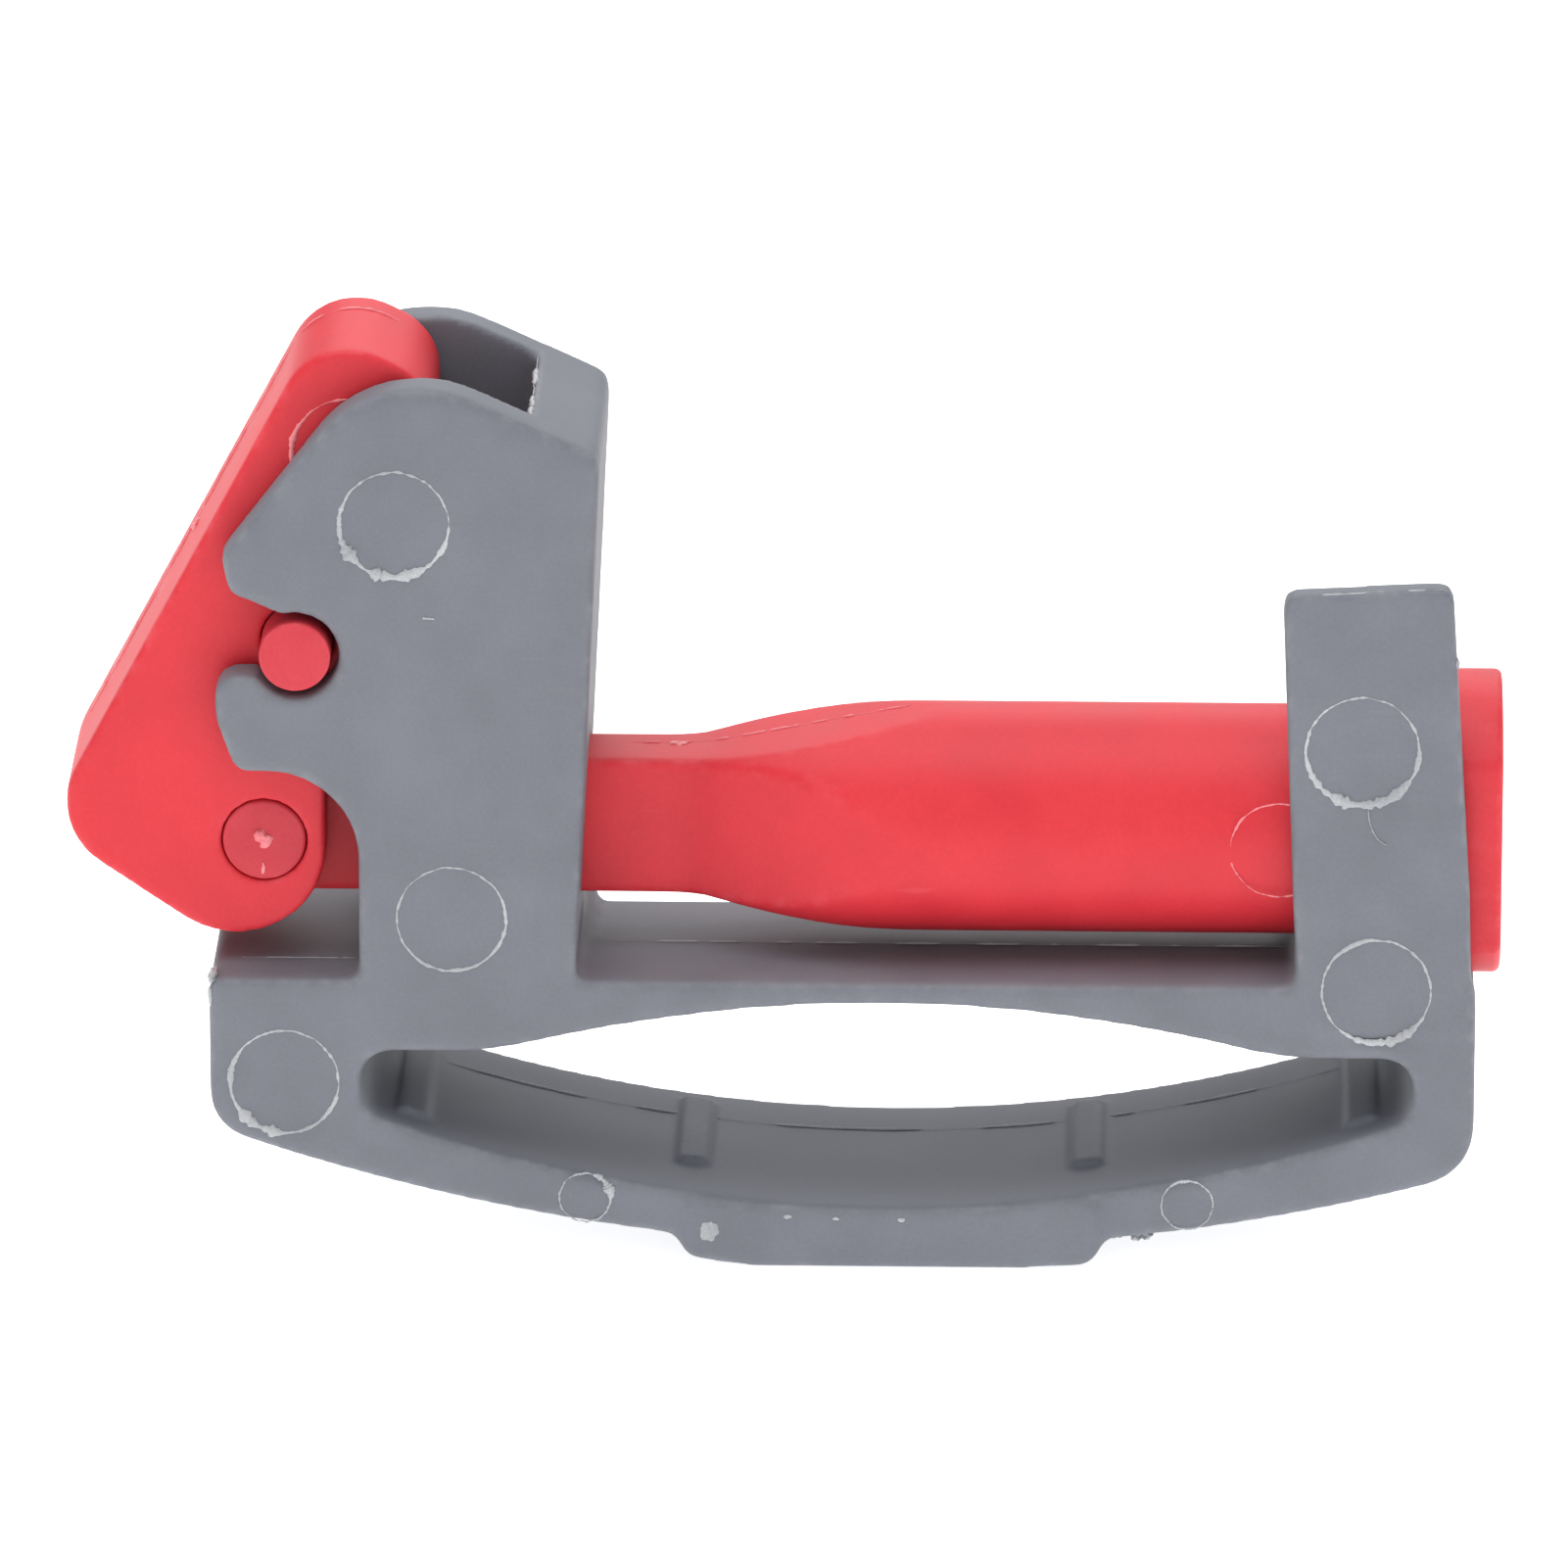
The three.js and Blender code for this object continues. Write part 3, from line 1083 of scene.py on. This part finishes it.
    def _head(self) -> bpy.types.Object:
        """Builds the disc head with its front flat and softened rim.

        Returns:
            The head.
        """
        width = self.head_right - self.head_left
        bpy.ops.mesh.primitive_cylinder_add(
            vertices=128, radius=self.head_radius * MM, depth=width * MM,
            location=place(self.head_left + width / 2, 0, AXIS_Z), rotation=(0, math.pi / 2, 0),
        )
        head = named("head")
        cut = place(0, -self.head_flat, 0)
        edit_all(
            head,
            lambda: bpy.ops.mesh.bisect(
                plane_co=cut, plane_no=(0, 1, 0), use_fill=True, clear_inner=True, clear_outer=False
            ),
        )
        soften(head, self.head_rounding)
        return head

    def build(self, palette: Palette) -> None:
        """Builds the bolt with its pin hole.

        Args:
            palette: All finishes.
        """
        shank, head = self._shank(), self._head()
        apply_modifier(shank, "BOOLEAN", operation="UNION", object=head, solver="EXACT")
        bpy.data.objects.remove(head)
        bpy.ops.mesh.primitive_cylinder_add(
            vertices=64, radius=self.hole_radius * MM, depth=10 * MM, location=place(*PIVOT),
            rotation=(math.pi / 2, 0, 0),
        )
        drill = named("drill")
        apply_modifier(shank, "BOOLEAN", operation="DIFFERENCE", object=drill, solver="EXACT")
        bpy.data.objects.remove(drill)
        shank.name = shank.data.name = "bolt_moulding"
        smooth(shank, 35)
        mark_edges(shank)
        palette.dress(shank, RED)
        hand_over(shank, Body.BOLT, Slot.RED, "bolt")


@dataclass
class ToggleLever:
    """The red lever, forked round the bolt's neck.

    Attributes:
        voxel: Spacing of the even mesh.
        fine_rounds: Rounds of light relaxing, which rounds all edges.
        broad_rounds: Rounds of strong relaxing, which rounds the outer edges more.
        face: Depth of the faces from the middle.
        edge_reach: How far in from the faces the strong relaxing reaches.
        hole_reach: Distance from the pins inside which it leaves the holes as they are.
    """

    voxel: float = 0.2
    fine_rounds: int = 5
    broad_rounds: int = 16
    face: float = 5.2
    edge_reach: float = 0.9
    hole_reach: float = 3.1

    def _outer(self, point: Vector) -> float:
        """Share of the strong relaxing: on the outer edges of both faces, and away from the pin holes.

        Args:
            point: A point of the datum.

        Returns:
            1 or 0.
        """
        x, y, z = point
        if any(math.hypot(x - pin.x, z - pin.z) < self.hole_reach for pin in (PIVOT, FULCRUM)):
            return 0.0
        return 1.0 if abs(y) > self.face - self.edge_reach else 0.0

    def build(self, palette: Palette) -> None:
        """Builds the lever.

        Args:
            palette: All finishes.
        """
        lever = copy_of_node("lever", "lever_moulding")
        apply_modifier(lever, "REMESH", mode="VOXEL", voxel_size=self.voxel * MM, adaptivity=0.0)
        melt(lever, lambda point: 1.0, self.fine_rounds)
        melt(lever, self._outer, self.broad_rounds)
        smooth(lever, 80)
        mark_edges(lever)
        palette.dress(lever, RED)
        hand_over(lever, Body.LEVER, Slot.RED, "lever")


@dataclass
class Pin:
    """A round pin, with rounded ends.

    Attributes:
        node: CAD node that it replaces.
        name: Name of the piece.
        rounding: Radius of the edges of its ends.
    """

    node: str
    name: str
    rounding: float

    def build(self, palette: Palette) -> None:
        """Builds the pin from the size of its CAD node.

        Args:
            palette: All finishes.
        """
        low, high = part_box(self.node)
        bpy.ops.mesh.primitive_cylinder_add(
            vertices=72, radius=(high.x - low.x) / 2, depth=high.y - low.y, location=(low + high) / 2,
            rotation=(math.pi / 2, 0, 0),
        )
        pin = named(self.name)
        soften(pin, self.rounding)
        mark_edges(pin)
        palette.dress(pin, PIN_RED)
        hand_over(pin, Body.LEVER, Slot.PIN, self.node)


@dataclass
class MouldingMarks:
    """Ejector marks, parting-line flash, burrs and hairs left by the mould.

    Attributes:
        proud: How far a mark's middle stands out of its face.
        large: Radius of the frame's large ejector pins.
        small: Radius of the small ones.
        lever_seam: Depth of the line where the lever's mould halves met.
    """

    proud: float = 0.01
    large: float = 3.0
    small: float = 1.42
    lever_seam: float = 2.6

    def _frame_rings(self) -> list[EjectorMark]:
        """Lists the ejector marks on the frame's front.

        Returns:
            The marks, from the tower down, then those of the post and of the lower beam.
        """
        face, tab = FRONT - self.proud, FRONT - 0.15 - self.proud
        return [
            EjectorMark(-21.1, 43.2, face, self.large, 1.3, lumps=(
                Lump(-178, 16, 1.6), Lump(-146, 10, 4.6), Lump(-106, 8, 5.2), Lump(-72, 20, 2.8),
                Lump(-30, 12, 1.2),
            )),
            EjectorMark(-18.1, 20.4, face, self.large, 2.1, thickness=0.06, lumps=(
                Lump(-20, 40, 0.8), Lump(-100, 40, 0.7),
            )),
            EjectorMark(-27.4, 10.8, face, self.large, 3.7, lumps=(
                Lump(170, 25, 1.3), Lump(-133, 12, 3.6), Lump(-103, 9, 3.0), Lump(-40, 30, 0.7),
            )),
            EjectorMark(31.9, 30.65, tab, 3.1, 4.4, thickness=0.08, lumps=(
                Lump(-150, 20, 1.6), Lump(-112, 12, 3.2), Lump(-78, 14, 2.6), Lump(-50, 14, 3.0),
                Lump(-8, 14, 1.2),
            )),
            EjectorMark(32.8, 16.7, tab, self.large, 5.2, lumps=(
                Lump(-62, 20, 2.6), Lump(-100, 25, 1.4), Lump(110, 20, 1.0),
            )),
            EjectorMark(-10.8, 4.15, face, self.small, 6.1, thickness=0.06, lumps=(
                Lump(22, 18, 4.5), Lump(58, 10, 2.0),
            )),
            EjectorMark(22.5, 4.0, face, self.small, 7.9, thickness=0.05, lumps=(Lump(100, 25, 0.8),)),
        ]

    def _frame_threads(self) -> list[Thread]:
        """Lists the frame's parting-line flash, the hair on its post and the nick on its tower.

        Returns:
            The raised lines.
        """
        def straight(start: tuple[float, ...], end: tuple[float, ...]) -> Callable[[float], Vector]:
            """Makes a straight route.

            Args:
                start: Where it starts on the datum.
                end: Where it ends.

            Returns:
                The route.
            """
            return lambda share: Vector(start).lerp(Vector(end), share)

        def hair(share: float) -> Vector:
            """Route of the hair, an arc under the post's upper mark."""
            turn = math.radians(178 + 82 * share)
            return Vector((33.55 + 1.3 * math.cos(turn), FRONT - 0.18, 27.3 + 2.1 * math.sin(turn)))

        def wall_edge(share: float) -> Vector:
            """Ragged route along the top edge of the tower's end wall, from front to back.

            Args:
                share: Share of the length.

            Returns:
                A point of the datum.
            """
            across = noise.noise(Vector((share * 21, 3, 0)))
            upwards = noise.noise(Vector((share * 17, 9, 0)))
            return Vector((-13.72, -5.6 + 11 * share, 48.68)) + Vector((across, 0, upwards)) * 0.12

        def floor_line(share: float) -> Vector:
            """Route along the loop's curved floor."""
            x = -19.0 + 50.0 * share
            return Vector((x, 4.0, 3.86 + (x - 5.8) ** 2 / 162))

        return [
            Thread(straight((-29.9, -4.5, 16.8), (-23.6, -4.5, 16.8)), 0.05, 1.0, 0.5, 48),
            Thread(straight((-9.4, -1.3, 16.82), (28.0, -1.3, 16.82)), 0.07, 2.0, 0.62, 200),
            Thread(straight((-30.2, -8.0, 16.3), (-30.2, 7.6, 16.6)), 0.05, 4.0, 0.7, 60),
            Thread(straight((28.3, -7.95, 39.45), (36.2, -7.95, 39.92)), 0.08, 3.0, 0.55, 60),
            Thread(straight((-19.6, -8.1, 37.85), (-18.9, -8.1, 37.8)), 0.06, 5.0, 0.0, 12),
            Thread(wall_edge, 0.16, 5.5, 0.62, 60),
            Thread(hair, 0.04, 6.0, 0.0, 40),
            Thread(floor_line, 0.07, 7.0, 0.6, 160),
        ]

    def _frame_burrs(self) -> list[Burr]:
        """Lists the ragged lumps on the frame's edges.

        Returns:
            A row of lumps under the lower beam, then the single ones.
        """
        row = [
            Burr(
                18.6 + step * 0.55, -6.5 + 0.9 * math.sin(step * 1.9), 1.75 + 0.04 * step,
                (0.35, 0.6, 0.22), 20 + step,
            )
            for step in range(5)
        ]
        return row + [
            Burr(36.98, -7.8, 35.6, (0.16, 0.25, 0.32), 11.0),
            Burr(-31.3, -7.0, 16.6, (0.3, 0.8, 0.42), 12.0),
            Burr(-31.42, -7.3, 15.6, (0.2, 0.7, 0.6), 13.0),
            Burr(-3.9, -8.6, 2.4, (0.5, 0.05, 0.55), 14.0),
            Burr(0.4, -8.6, 3.3, (0.22, 0.05, 0.12), 15.0),
            Burr(3.1, -8.6, 3.2, (0.16, 0.05, 0.1), 16.0),
            Burr(6.7, -8.6, 3.15, (0.2, 0.05, 0.12), 17.0),
        ]

    def _lever_marks(self) -> list[Mark]:
        """Lists the lever's ejector mark, and the flash where its mould halves met.

        Returns:
            The marks.
        """
        seam = self.lever_seam
        top, bottom = Vector((-27.08, seam, 50.16)), Vector((-38.6, seam, 28.65))
        crown_x, crown_z, crown_radius = -23.645, 48.324, 3.9

        def left_edge(share: float) -> Vector:
            """Route down the lever's left side."""
            return top.lerp(bottom, share)

        def crown(share: float) -> Vector:
            """Route over the lever's round top."""
            turn = math.radians(140 - 150 * share)
            return Vector((
                crown_x + crown_radius * math.cos(turn), seam, crown_z + crown_radius * math.sin(turn)
            ))

        return [
            EjectorMark(-23.8, 46.4, -5.21, 3.0, 9.5, thickness=0.07, lumps=(Lump(170, 20, 1.6),)),
            Thread(left_edge, 0.13, 8.0, 0.5, 140),
            Thread(crown, 0.09, 9.0, 0.5, 90),
            Burr(-32.42, 1.6, 39.95, (0.3, 0.45, 0.4), 18.0),
        ]

    def _bolt_marks(self) -> list[Mark]:
        """Lists the bolt's ejector mark and the flash along the top of its neck.

        Returns:
            The marks.
        """
        bar = CrossBolt()
        highest = 6.26

        def neck_line(share: float) -> Vector:
            """Route along the top of the neck and up its ramp."""
            x = -8.5 + 15.5 * share
            return Vector((x, 0.45 + 0.35 * share, AXIS_Z + min(bar.height_at(x), highest)))

        return [
            EjectorMark(27.4, 24.2, -6.33, 2.7, 8.3, thickness=0.06, lumps=(Lump(60, 20, 1.2),), faint=0.4),
            Thread(neck_line, 0.08, 10.0, 0.62, 120),
            Burr(-5.9, 0.3, 27.86, (0.5, 0.3, 0.12), 19.0),
        ]

    def _pivot_marks(self) -> list[Burr]:
        """Lists the lumps of the sprue vestige in the middle of the pivot pin.

        Returns:
            The lumps.
        """
        return [
            Burr(-28.8, -5.2, 24.2, (0.34, 0.26, 0.3), 21.0),
            Burr(-28.45, -5.2, 23.85, (0.4, 0.14, 0.34), 22.0),
            Burr(-28.6, -5.22, 22.25, (0.1, 0.06, 0.3), 23.0),
        ]

    def build(self, palette: Palette) -> None:
        """Builds the marks of each moulding as one piece.

        Args:
            palette: All finishes.
        """
        frame_marks = [*self._frame_rings(), *self._frame_threads(), *self._frame_burrs()]
        marks_piece("frame_flash", frame_marks, palette, GREY_FLASH, Body.FRAME, Slot.GREY)
        marks_piece("bolt_flash", self._bolt_marks(), palette, RED_FLASH, Body.BOLT, Slot.RED)
        marks_piece("lever_flash", self._lever_marks(), palette, RED_FLASH, Body.LEVER, Slot.RED)
        marks_piece("pivot_pin_vestige", self._pivot_marks(), palette, RED_FLASH, Body.LEVER, Slot.PIN)


# ---------------------------------------------------------------- surroundings


@dataclass
class Studio:
    """Pale floor, soft light and the camera.

    Attributes:
        azimuth: Turn of the camera from the front, in degrees.
        elevation: Its height over the horizon, in degrees.
        distance: Its distance from the aim.
        lens: Focal length.
        aim: Point of the datum that it looks at.
        sky: Strength of the light from all round.
        glow: Strength of the floor's own light.
    """

    azimuth: float = 1.5
    elevation: float = 19.0
    distance: float = 900.0
    lens: float = 373.3
    aim: tuple[float, float, float] = (0.0, -0.16, 25.7)
    sky: float = 0.54
    glow: float = 0.75

    def camera(self) -> None:
        """Sets the camera on its line of sight through the aim."""
        data = bpy.data.cameras.new("camera")
        data.sensor_width = 36.0
        data.lens = self.lens
        data.clip_start, data.clip_end = 0.05, 20.0
        item = bpy.data.objects.new("camera", data)
        turn, rise = math.radians(self.azimuth), math.radians(self.elevation)
        back = Vector((math.sin(turn) * math.cos(rise), -math.cos(turn) * math.cos(rise), math.sin(rise)))
        item.location = place(*self.aim) + back * self.distance * MM
        item.rotation_euler = (-back).to_track_quat("-Z", "Y").to_euler()
        bpy.context.scene.collection.objects.link(item)
        bpy.context.scene.camera = item

    def floor(self) -> None:
        """A plain pale floor under the foot."""
        bpy.ops.mesh.primitive_plane_add(size=6.0, location=(0, 0, CAD_BOX[0].z - FLOOR_GAP * MM))
        item = named("floor")
        material = bpy.data.materials.new("pale_floor")
        material.use_nodes = True
        shader = material.node_tree.nodes["Principled BSDF"]
        shader.inputs["Base Color"].default_value = (0.93, 0.93, 0.93, 1.0)
        shader.inputs["Roughness"].default_value = 0.9
        shader.inputs["Specular IOR Level"].default_value = 0.1
        shader.inputs["Emission Color"].default_value = (1.0, 1.0, 1.0, 1.0)
        shader.inputs["Emission Strength"].default_value = self.glow
        item.data.materials.append(material)

    def softbox(self, name: str, spot: Sequence[float], size: float, power: float) -> None:
        """A square soft light aimed at the latch.

        Args:
            name: Name of the light.
            spot: Place in metres.
            size: Side of the light in metres.
            power: Power in watts.
        """
        data = bpy.data.lights.new(name, "AREA")
        data.shape = "SQUARE"
        data.size = size
        data.energy = power
        item = bpy.data.objects.new(name, data)
        item.location = spot
        towards = place(*self.aim) - Vector(spot)
        item.rotation_euler = towards.to_track_quat("-Z", "Y").to_euler()
        bpy.context.scene.collection.objects.link(item)

    def build(self) -> None:
        """Builds the surroundings."""
        world = bpy.data.worlds.new("studio")
        world.use_nodes = True
        background = world.node_tree.nodes["Background"]
        background.inputs["Color"].default_value = (1.0, 1.0, 1.0, 1.0)
        background.inputs["Strength"].default_value = self.sky
        bpy.context.scene.world = world
        bpy.context.scene.view_settings.view_transform = "Standard"
        self.camera()
        self.floor()
        self.softbox("overhead", (-0.1, -0.1, 1.0), 0.8, 7.0)
        self.softbox("back", (0.1, 1.0, 0.75), 0.9, 4.6)
        self.softbox("front", (0.2, -1.1, 0.6), 0.8, 1.3)


def main() -> None:
    """Builds the latch's looks piece by piece round the CAD frame."""
    logging.basicConfig(level=logging.INFO, format="%(name)s: %(message)s")
    Studio().build()
    palette = Palette().mix()
    LoopFrame().build(palette)
    CrossBolt().build(palette)
    ToggleLever().build(palette)
    Pin("pivot_pin", "pivot_pin_moulding", rounding=0.2).build(palette)
    Pin("fulcrum_pin", "fulcrum_pin_moulding", rounding=0.12).build(palette)
    MouldingMarks().build(palette)


if __name__ == "__main__":
    main()
